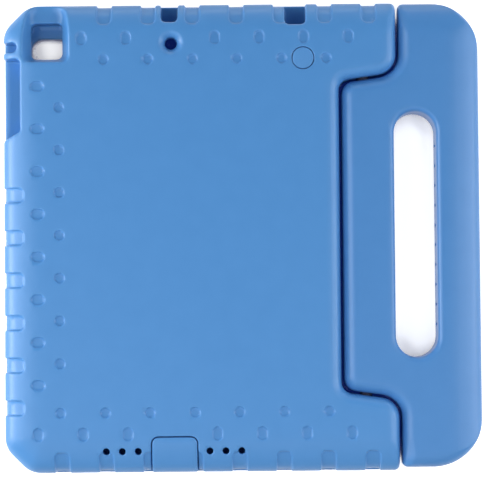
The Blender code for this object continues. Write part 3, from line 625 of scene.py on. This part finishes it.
def cut_microphone_hole(block):
    """The microphone hole, with a wide cone round it."""
    middle_x = LEFT + MIC_LEFT
    middle_y = TOP - MIC_TOP
    area, x, y = block.part(rectangle_round(middle_x, middle_y, MIC_SINK_DIAMETER, MIC_SINK_DIAMETER))
    radial = np.hypot(x - middle_x, y - middle_y)
    block.carve(np.maximum(radial - MIC_DIAMETER / 2, POCKET_MIDDLE - block.z), MIC_RIM, area)
    lean = (MIC_SINK_DIAMETER - MIC_DIAMETER) / 2 / MIC_SINK_DEPTH
    cone = (radial - MIC_SINK_DIAMETER / 2 + (BACK - block.z) * lean) / math.hypot(1, lean)
    block.carve(np.maximum(cone, BACK - MIC_SINK_DEPTH - block.z), MIC_SINK_RIM, area)


def cut_plug_seat(block):
    """The blind round seat of the plug."""
    middle = (plug_low + plug_high) / 2
    radius = (plug_high.x - plug_low.x) / 2 + FIT_GAP
    area, x, y = block.part(rectangle_round(middle.x, middle.y, PLUG_SEAT_REACH, PLUG_SEAT_REACH))
    radial = np.hypot(x - middle.x, y - middle.y)
    block.carve(np.maximum(radial - radius, plug_low.z - FIT_GAP - block.z), PLUG_SEAT_RIM, area)


def cut_speaker_holes(block):
    """Two rows of speaker holes, each hole with a tunnel to the tablet's lower edge."""
    hole_y = BOTTOM + SPEAKER_EDGE
    low = hole_y - SPEAKER_REACH
    high = -POCKET_HIGH + 2 * TUNNEL_OVERLAP
    half = TUNNEL_WIDTH / 2
    level = np.abs(block.z - POCKET_MIDDLE) - half
    for start in SPEAKER_ROW_STARTS:
        for index in range(SPEAKER_ROW_COUNT):
            hole_x = LEFT + start + SPEAKER_PITCH * index
            area, x, y = block.part((hole_x - SPEAKER_REACH, hole_x + SPEAKER_REACH, low, high))
            radial = np.hypot(x - hole_x, y - hole_y)
            hole = np.maximum(radial - SPEAKER_DIAMETER / 2, POCKET_MIDDLE - block.z)
            block.carve(hole, SPEAKER_RIM, area)
            plan = (hole_x - half, hole_x + half, hole_y, -POCKET_HIGH + TUNNEL_OVERLAP)
            tunnel = rectangle_distance(x, y, plan, TUNNEL_CORNER)
            block.carve(np.maximum(tunnel, level), TUNNEL_RIM, area)


def flap_plan(x, y, gap):
    """The flat distance of the port flap grown by a gap, running out past the bottom edge."""
    plan = (flap_low.x - gap, flap_high.x + gap, BOTTOM - FAR, flap_high.y + gap)
    return rectangle_distance(x, y, plan, FLAP_CORNER + gap)


def cut_flap_seat(block):
    """The opening in the bottom edge that the port flap lies in."""
    x_low, x_high, _, y_high = grown((flap_low.x, flap_high.x, flap_low.y, flap_high.y), CUTOUT_MARGIN)
    area, x, y = block.part((x_low, x_high, BOTTOM - FAR, y_high))
    block.carve(np.maximum(flap_plan(x, y, FLAP_GAP), POCKET_FLOOR - block.z), FLAP_RIM, area)


def cut_pin_bores(block):
    """The blind bores that the two hinge pins sit in."""
    axis_x = (pin_low.x + pin_high.x) / 2
    axis_z = (pin_low.z + pin_high.z) / 2
    radius = (pin_high.x - pin_low.x) / 2 + FIT_GAP
    for low, high in ((pin_low, pin_high), (lower_pin_low, lower_pin_high)):
        reach = (axis_x - BORE_REACH, axis_x + BORE_REACH, low.y - BORE_MARGIN, high.y + BORE_MARGIN)
        area, x, y = block.part(reach)
        radial = np.hypot(x - axis_x, block.z - axis_z)
        length = np.abs(y - (low.y + high.y) / 2) - (high.y - low.y) / 2 - FIT_GAP
        block.carve(np.maximum(radial - radius, length), BORE_RIM, area)


def shell_block():
    """The whole shell as a distance block."""
    block = Block(shell_low, shell_high)
    form, inset = shell_form(block)
    ear_inset = lifted(outline_inset(ear_corners(), *block.flat()))
    seam_edge = (SEAM_ROUND, SEAM_ROUND)
    front_edge = (FRONT_ROUND, FRONT_ROUND)
    ears = rounded_form(ear_inset, BACK - block.z, block.z, seam_edge, front_edge)
    block.values = blended_forms(form, inset, BACK_ROUND_WIDTH, ears, ear_inset, SEAM_ROUND)
    cut_notches(block)
    cut_dimples(block)
    cut_pocket(block)
    cut_camera_window(block)
    cut_edge_cutouts(block)
    cut_volume_cutout(block)
    cut_side_holes(block)
    cut_microphone_hole(block)
    cut_plug_seat(block)
    cut_speaker_holes(block)
    cut_flap_seat(block)
    cut_pin_bores(block)
    return block


def flap_block():
    """The port flap: a piece of the shell's edge, cut free above the front lip."""
    block = Block(flap_low, flap_high)
    x, y = block.flat()
    form, _ = shell_form(block)
    solid = round_max(form, lifted(flap_plan(x, y, 0.0)), FLAP_RIM)
    block.values = round_max(solid, flap_low.z - block.z, FLAP_INNER_RIM)
    room_edge = -POCKET_HIGH - (flap_low.z - POCKET_FLOOR)
    tablet_room = np.maximum(room_edge - lifted(y), block.z - POCKET_CEILING - FLAP_POCKET_GAP)
    block.carve(tablet_room, FLAP_INNER_RIM)
    return block


def plug_block():
    """The flush foam plug."""
    block = Block(plug_low, plug_high)
    x, y = block.flat()
    middle = (plug_low + plug_high) / 2
    radial = lifted(np.hypot(x - middle.x, y - middle.y)) - (plug_high.x - plug_low.x) / 2
    level = np.abs(block.z - middle.z) - (plug_high.z - plug_low.z) / 2
    block.values = round_max(radial, level, PLUG_RIM)
    return block


def handle_form(x, y, above, below):
    """The handle's outer form: wide rounds along its straight sides, a small one at its corners."""
    plan = (handle_low.x - FAR, handle_high.x, handle_low.y, handle_high.y)
    inset = -lifted(rectangle_distance(x, y, plan, HANDLE_CORNER))
    corner_edge = (HANDLE_CORNER_EDGE, HANDLE_CORNER_EDGE)
    corners = rounded_form(inset, below, above, corner_edge, corner_edge)

    wide_edge = (HANDLE_ROUND_WIDTH, HANDLE_ROUND_HEIGHT)
    low_edge = (HANDLE_LOW_ROUND_WIDTH, HANDLE_LOW_ROUND_HEIGHT)
    right_inset = lifted(handle_high.x - x)
    high_inset = lifted(handle_high.y - y)
    low_inset = lifted(y - handle_low.y)
    right = rounded_form(right_inset, below, above, wide_edge, wide_edge)
    high = rounded_form(high_inset, below, above, wide_edge, wide_edge)
    low = rounded_form(low_inset, below, above, low_edge, low_edge)
    width = HANDLE_ROUND_WIDTH
    sides = blended_forms(right, right_inset, width, high, high_inset, width)
    sides = blended_forms(sides, right_inset, width, low, low_inset, HANDLE_LOW_ROUND_WIDTH)
    return np.maximum(corners, sides), inset


def cut_hand_slot(block):
    """The long opening for the hand, with a wider rim on the back than on the front."""
    low = HANDLE_MIDDLE_Y - SLOT_LENGTH / 2
    high = HANDLE_MIDDLE_Y + SLOT_LENGTH / 2
    plan = (SLOT_RIGHT - SLOT_WIDTH, SLOT_RIGHT, low, high)
    slot = lifted(rectangle_distance(*block.flat(), plan, SLOT_CORNER))
    rim = np.where(block.z > HANDLE_MIDDLE_Z, SLOT_RIM, SLOT_FRONT_RIM)
    block.carve(slot, rim)


def cut_grip_grooves(block):
    """The short upright grooves in the slot's outer wall."""
    ends = np.maximum(block.z - GRIP_HIGH, GRIP_LOW - block.z)
    for index in range(GRIP_COUNT):
        grip_y = HANDLE_MIDDLE_Y + GRIP_PITCH * (index - (GRIP_COUNT - 1) / 2)
        area, x, y = block.part(rectangle_round(SLOT_RIGHT, grip_y, GRIP_REACH, GRIP_REACH))
        groove = np.hypot(x - SLOT_RIGHT, y - grip_y) - GRIP_RADIUS
        block.carve(np.maximum(groove, ends), GRIP_RIM, area)


def handle_block():
    """The handle: its rounded form, the tab between the ears and the hand slot."""
    block = Block(handle_low, handle_high)
    x, y = block.flat()
    above = block.z - handle_low.z
    below = handle_high.z - block.z
    form, inset = handle_form(x, y, above, below)
    tab_inset = lifted(outline_inset(tab_corners(), x, y))
    tab_edge = (TAB_ROUND, TAB_ROUND)
    tab = rounded_form(tab_inset, below, above, tab_edge, tab_edge)
    block.values = blended_forms(form, inset, HANDLE_ROUND_WIDTH, tab, tab_inset, TAB_ROUND)
    cut_hand_slot(block)
    cut_grip_grooves(block)
    cut_pin_bores(block)
    return block


def mesh_from_block(name, block):
    """Turn a distance block into a smooth mesh, in metres, with its faces turned outwards."""
    grid = openvdb.FloatGrid(BAND)
    grid.copyFromArray(np.clip(block.values, -BAND, BAND).astype(np.float32))
    points, triangles, quads = grid.convertToPolygons(0.0, ADAPTIVITY)
    points = (points * PITCH + block.low) * MM
    corners = [points[quads[:, i]] for i in range(3)]
    volume = np.einsum("ij,ij->i", corners[0], np.cross(corners[1], corners[2])).sum()
    if volume < 0:
        triangles = triangles[:, ::-1]
        quads = quads[:, ::-1]
    mesh = bpy.data.meshes.new(name)
    mesh.from_pydata(points.tolist(), [], triangles.tolist() + quads.tolist())
    mesh.validate()
    mesh.shade_smooth()
    print("MESH", name, len(points), len(triangles) + 2 * len(quads))
    return mesh


def add_piece(name, block, material, node, body):
    """Make a piece that stands for a CAD node and rides on its body."""
    piece = bpy.data.objects.new(name, mesh_from_block(name, block))
    bpy.context.scene.collection.objects.link(piece)
    piece.data.materials.append(material)
    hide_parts(node)
    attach(piece, body)
    return piece


def linear(red, green, blue):
    """A colour written in screen values from 0 to 255, as linear values by the sRGB curve."""
    values = []
    for part in (red, green, blue):
        share = part / 255
        values.append(share / 12.92 if share <= 0.04045 else ((share + 0.055) / 1.055) ** 2.4)
    return (*values, 1.0)


# Foam, with its clouds of colour and its pebbled grain
SHELL_COLOURS = (linear(78, 140, 203), linear(80, 142, 205))
# The handle's colours are the shell's made a little darker: painted shade for the lesser light that
# falls on the handle's face.
HANDLE_PAINTED_SHADE_COLOURS = (linear(75, 134, 197), linear(77, 136, 199))
FOAM_ROUGHNESS = 0.36
FOAM_SHINE = 0.38
FOAM_GRAIN = 0.25
PLUG_ROUGHNESS = 0.55
PLUG_GRAIN = 0.6
GRAIN_SCALE = 1 / 0.0006
GRAIN_HEIGHT = 0.00006
CLOUD_SCALE = 1 / 0.012
CLOUD_DETAIL = 3.0
CLOUD_ENDS = (0.3, 0.7)

# Plastic of the hinge pins
PIN_COLOUR = linear(14, 24, 58)
PIN_ROUGHNESS = (0.55, 0.7)
PIN_NOISE_SCALE = 400.0


def new_material(name):
    """A new material, its node tree and its shader."""
    material = bpy.data.materials.new(name)
    material.use_nodes = True
    return material, material.node_tree, material.node_tree.nodes["Principled BSDF"]


def add_clouds(tree, place, shader, colours):
    """Give a shader two close colours that run into each other in faint clouds."""
    noise = tree.nodes.new("ShaderNodeTexNoise")
    noise.inputs["Scale"].default_value = CLOUD_SCALE
    noise.inputs["Detail"].default_value = CLOUD_DETAIL
    ramp = tree.nodes.new("ShaderNodeValToRGB")
    for element, position, colour in zip(ramp.color_ramp.elements, CLOUD_ENDS, colours):
        element.position = position
        element.color = colour
    tree.links.new(place, noise.inputs["Vector"])
    tree.links.new(noise.outputs["Fac"], ramp.inputs["Fac"])
    tree.links.new(ramp.outputs["Color"], shader.inputs["Base Color"])


def add_pebbles(tree, place, shader, grain):
    """Give a shader a fine pebbled bump."""
    pebble = tree.nodes.new("ShaderNodeTexVoronoi")
    pebble.inputs["Scale"].default_value = GRAIN_SCALE
    bump = tree.nodes.new("ShaderNodeBump")
    bump.inputs["Strength"].default_value = grain
    bump.inputs["Distance"].default_value = GRAIN_HEIGHT
    tree.links.new(place, pebble.inputs["Vector"])
    tree.links.new(pebble.outputs["Distance"], bump.inputs["Height"])
    tree.links.new(bump.outputs["Normal"], shader.inputs["Normal"])


def foam_material(name, colours, roughness, grain):
    """Moulded closed-cell foam: a fine pebbled skin with faint cloudy colour."""
    material, tree, shader = new_material(name)
    shader.inputs["Roughness"].default_value = roughness
    shader.inputs["Specular IOR Level"].default_value = FOAM_SHINE
    place = tree.nodes.new("ShaderNodeTexCoord").outputs["Object"]
    add_clouds(tree, place, shader, colours)
    add_pebbles(tree, place, shader, grain)
    return material


def plastic_material(name, colour):
    """Smooth moulded plastic with a faint variation in gloss."""
    material, tree, shader = new_material(name)
    shader.inputs["Base Color"].default_value = colour
    noise = tree.nodes.new("ShaderNodeTexNoise")
    noise.inputs["Scale"].default_value = PIN_NOISE_SCALE
    spread = tree.nodes.new("ShaderNodeMapRange")
    spread.inputs["To Min"].default_value, spread.inputs["To Max"].default_value = PIN_ROUGHNESS
    tree.links.new(noise.outputs["Fac"], spread.inputs["Value"])
    tree.links.new(spread.outputs["Result"], shader.inputs["Roughness"])
    return material


# Floor, with its rings as (radius, height)
FLOOR_STEPS = 64
FLOOR_RINGS = ((2.2, 0.0), (2.6, 0.08), (2.9, 0.4), (3.0, 1.0), (3.0, 3.0))
FLOOR_ROUGHNESS = 0.9
FLOOR_GLOW = 0.95
FLOOR_WHITE = (0.8, 0.8, 0.8, 1.0)
# Painted shade: the floor's colour where the case closes it in, dark navy in place of the shade and
# the blue light that the foam throws into its gaps.
FLOOR_PAINTED_SHADE = (0.002, 0.008, 0.075, 1.0)

# Free share of the space over the floor, at which it counts as closed in or as open; where it is
# closed in, the floor takes the painted shade
FLOOR_CLOSED = 0.13
FLOOR_OPEN = 0.26
FLOOR_OPEN_DISTANCE = 0.15
FLOOR_OPEN_SAMPLES = 16


def floor_painted_shade_mask(tree):
    """A socket that is 1 where the floor lies open and 0 where the case closes it in: the mask for the
    floor's painted shade.
    """
    openness = tree.nodes.new("ShaderNodeAmbientOcclusion")
    openness.inputs["Distance"].default_value = FLOOR_OPEN_DISTANCE
    openness.samples = FLOOR_OPEN_SAMPLES
    level = tree.nodes.new("ShaderNodeMapRange")
    level.interpolation_type = "SMOOTHSTEP"
    level.inputs["From Min"].default_value = FLOOR_CLOSED
    level.inputs["From Max"].default_value = FLOOR_OPEN
    tree.links.new(openness.outputs["AO"], level.inputs["Value"])
    return level.outputs["Result"]


def larger_of(tree, first, second):
    """A socket with the larger of two sockets' values."""
    larger = tree.nodes.new("ShaderNodeMath")
    larger.operation = "MAXIMUM"
    tree.links.new(first, larger.inputs[0])
    tree.links.new(second, larger.inputs[1])
    return larger.outputs["Value"]


def floor_glow(tree):
    """A socket with the glow that only the camera, reflections and clear pieces see."""
    rays = tree.nodes.new("ShaderNodeLightPath").outputs
    seen = larger_of(tree, rays["Is Camera Ray"], rays["Is Glossy Ray"])
    seen = larger_of(tree, seen, rays["Is Transmission Ray"])
    glow = tree.nodes.new("ShaderNodeMath")
    glow.operation = "MULTIPLY"
    glow.inputs[1].default_value = FLOOR_GLOW
    tree.links.new(seen, glow.inputs[0])
    return glow.outputs["Value"]


def floor_material():
    """A white sweep that looks white to the camera, except where the case closes it in: there its
    colour and its glow are a painted dark navy shade.
    """
    material, tree, shader = new_material("floor_white_painted_shade")
    shader.inputs["Roughness"].default_value = FLOOR_ROUGHNESS
    # Painted shade: the floor's colour, and with it its glow, turns dark navy where the case closes it
    # in.
    colour = tree.nodes.new("ShaderNodeMix")
    colour.data_type = "RGBA"
    colour.inputs["A"].default_value = FLOOR_PAINTED_SHADE
    colour.inputs["B"].default_value = FLOOR_WHITE
    tree.links.new(floor_painted_shade_mask(tree), colour.inputs["Factor"])
    tree.links.new(colour.outputs["Result"], shader.inputs["Base Color"])
    tree.links.new(colour.outputs["Result"], shader.inputs["Emission Color"])
    tree.links.new(floor_glow(tree), shader.inputs["Emission Strength"])
    return material


def sweep_mesh():
    """The floor's rings, joined into a disc that turns up into a wall."""
    points = [(0, 0, 0)]
    for radius, height in FLOOR_RINGS:
        for step in range(FLOOR_STEPS):
            turn = 2 * math.pi * step / FLOOR_STEPS
            points.append((radius * math.cos(turn), radius * math.sin(turn), height))
    faces = []
    for step in range(FLOOR_STEPS):
        after = (step + 1) % FLOOR_STEPS
        faces.append((0, 1 + step, 1 + after))
        for ring in range(1, len(FLOOR_RINGS)):
            inner = 1 + FLOOR_STEPS * (ring - 1)
            outer = inner + FLOOR_STEPS
            faces.append((inner + step, outer + step, outer + after, inner + after))
    mesh = bpy.data.meshes.new("floor")
    mesh.from_pydata(points, [], faces)
    mesh.shade_smooth()
    return mesh


def add_floor():
    """The pale round table top that the case lies on, swept up into a pale wall all round."""
    floor = bpy.data.objects.new("floor", sweep_mesh())
    bpy.context.scene.collection.objects.link(floor)
    floor.data.materials.append(floor_material())


# Lamps: name, degrees round from the handle's side, degrees up, distance, size, power in watts
LOW_PANEL = (0.5, 0.3)
SOFT_BOX = (0.6, 0.6)
LAMP_TARGET = Vector((0, 0, 0.02))
LAMPS = (
    ("panel_right", 0, 8, 1.1, LOW_PANEL, 2.3),
    ("panel_far_right", 45, 8, 1.1, LOW_PANEL, 1.3),
    ("panel_far", 90, 8, 1.1, LOW_PANEL, 1.6),
    ("panel_left", 180, 8, 1.1, LOW_PANEL, 6.6),
    ("box_right", 0, 30, 1.1, SOFT_BOX, 3.3),
    ("box_left", 180, 30, 1.1, SOFT_BOX, 4.0),
    ("high_box_right", 0, 55, 1.1, SOFT_BOX, 2.1),
    ("high_box_left", 180, 55, 1.1, SOFT_BOX, 2.3),
    ("high_box_near_left", 225, 55, 0.7, SOFT_BOX, 1.0),
    ("high_box_near", 270, 55, 0.7, SOFT_BOX, 0.5),
    ("high_box_near_right", 315, 55, 0.7, SOFT_BOX, 0.52),
)
WORLD_COLOUR = (1.0, 1.0, 1.0, 1.0)
WORLD_LEVEL = 0.01


def add_area_light(name, place, target, size, power):
    """A rectangular lamp that points at a target."""
    lamp = bpy.data.lights.new(name, "AREA")
    lamp.shape = "RECTANGLE"
    lamp.size, lamp.size_y = size
    lamp.energy = power
    holder = bpy.data.objects.new(name, lamp)
    holder.location = place
    direction = target - Vector(place)
    holder.rotation_euler = direction.to_track_quat("-Z", "Y").to_euler()
    bpy.context.scene.collection.objects.link(holder)


def light_scene():
    """Soft lamps round the table, low and high, most of their light from the two sides."""
    for name, azimuth, elevation, distance, size, power in LAMPS:
        turn = math.radians(azimuth)
        rise = math.radians(elevation)
        reach = distance * math.cos(rise)
        height = distance * math.sin(rise) + LAMP_TARGET.z
        place = (reach * math.cos(turn), reach * math.sin(turn), height)
        add_area_light(name, place, LAMP_TARGET, size, power)


def light_world():
    """A faint even light from all round."""
    world = bpy.data.worlds.new("faint_studio")
    world.use_nodes = True
    background = world.node_tree.nodes["Background"]
    background.inputs["Color"].default_value = WORLD_COLOUR
    background.inputs["Strength"].default_value = WORLD_LEVEL
    bpy.context.scene.world = world


# Camera: the width of its view is that at its target, on the back of the case
CAMERA_DISTANCE = 1.3
CAMERA_TARGET = Vector((0.00016, -0.0015, BACK * MM))
CAMERA_PITCH = math.radians(2.2)
CAMERA_ROLL = math.radians(-0.5)
CAMERA_CLIP = 0.01
VIEW_WIDTH = 0.2753
SENSOR_WIDTH = 36.0


def add_camera():
    """Looks almost straight down at the back, a little from the lower side."""
    lens = bpy.data.cameras.new("camera")
    lens.sensor_fit = "HORIZONTAL"
    lens.sensor_width = SENSOR_WIDTH
    lens.lens = SENSOR_WIDTH * CAMERA_DISTANCE / VIEW_WIDTH
    lens.clip_start = CAMERA_CLIP
    camera = bpy.data.objects.new("camera", lens)
    tilt = Matrix.Rotation(CAMERA_PITCH, 4, "X")
    roll = Matrix.Rotation(CAMERA_ROLL, 4, "Z")
    back_off = Matrix.Translation((0, 0, CAMERA_DISTANCE))
    camera.matrix_world = Matrix.Translation(CAMERA_TARGET) @ tilt @ roll @ back_off
    bpy.context.scene.collection.objects.link(camera)
    bpy.context.scene.camera = camera


def add_pieces():
    """The foam pieces, each in place of its CAD node."""
    foam = foam_material("moulded_foam", SHELL_COLOURS, FOAM_ROUGHNESS, FOAM_GRAIN)
    # The handle gets a darker copy of the foam, whose extra darkness is painted shade.
    handle_foam = foam_material("handle_foam", HANDLE_PAINTED_SHADE_COLOURS, FOAM_ROUGHNESS, FOAM_GRAIN)
    plug_foam = foam_material("plug_foam", SHELL_COLOURS, PLUG_ROUGHNESS, PLUG_GRAIN)
    add_piece("shell_moulding", shell_block(), foam, "shell", "shell")
    add_piece("handle_moulding", handle_block(), handle_foam, "handle", "handle")
    add_piece("port_flap_moulding", flap_block(), foam, "port_flap", "port_flap")
    add_piece("foam_plug", plug_block(), plug_foam, "round_plug", "shell")


def dress_pins():
    """The hinge pins keep their CAD form and get their plastic."""
    pin_plastic = plastic_material("pin_plastic", PIN_COLOUR)
    for name in ("hinge_pin_upper", "hinge_pin_lower"):
        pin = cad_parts[name]
        pin.data.materials.clear()
        pin.data.materials.append(pin_plastic)


def main():
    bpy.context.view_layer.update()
    add_pieces()
    dress_pins()
    add_floor()
    light_scene()
    light_world()
    add_camera()
    bpy.context.scene.view_settings.view_transform = "Standard"


main()
